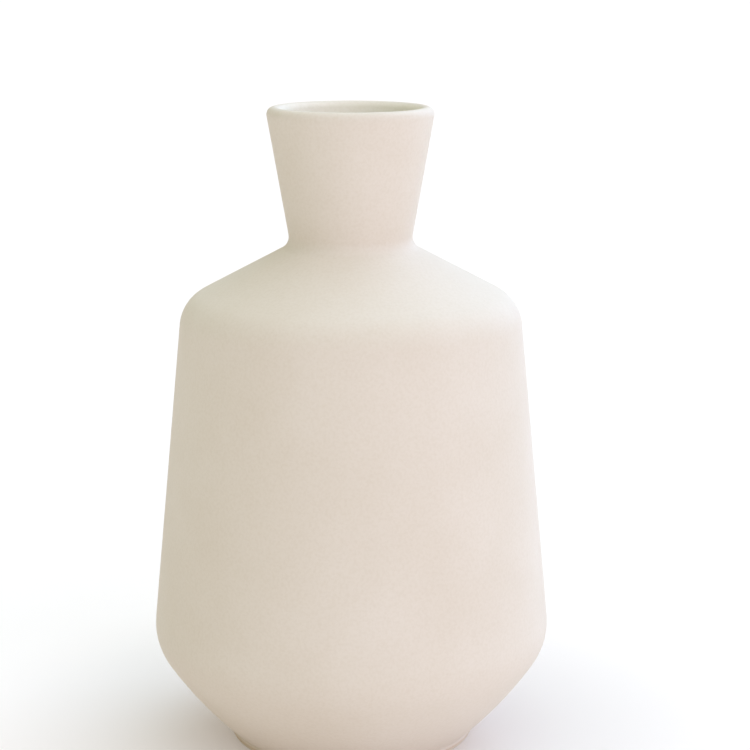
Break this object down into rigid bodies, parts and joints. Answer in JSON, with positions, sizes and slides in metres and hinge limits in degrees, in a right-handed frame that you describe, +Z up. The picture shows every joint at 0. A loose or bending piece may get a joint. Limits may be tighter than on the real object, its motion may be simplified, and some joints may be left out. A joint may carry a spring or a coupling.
{
  "type": "ceramic bud vase",
  "caption": "Matt stoneware bud vase with a flared neck, sloping shoulder, tall tapered wall, rounded belly and short foot; its glazed inside holds water for a few stems.",
  "frame": {"origin": "centre of the foot, on the surface that the vase stands on", "axes": "+Z up, along the axis of revolution, towards the mouth; +X and +Y are arbitrary, as the vase is round"},
  "size_m": [0.1126, 0.1126, 0.18],
  "materials": {
    "stoneware_clay": "bare fired pale stoneware, dry and slightly sandy",
    "matt_glaze": "smooth matt cream glaze",
    "clear_glaze": "clear glossy lining glaze over pale clay"
  },
  "bodies": {
    "root": {"foot_ring": "stoneware_clay", "base_disc": "stoneware_clay", "lower_wall": "stoneware_clay", "body_wall": "stoneware_clay", "shoulder": "stoneware_clay", "neck": "stoneware_clay", "outer_glaze": "matt_glaze", "inner_glaze": "clear_glaze"}
  },
  "joints": []
}
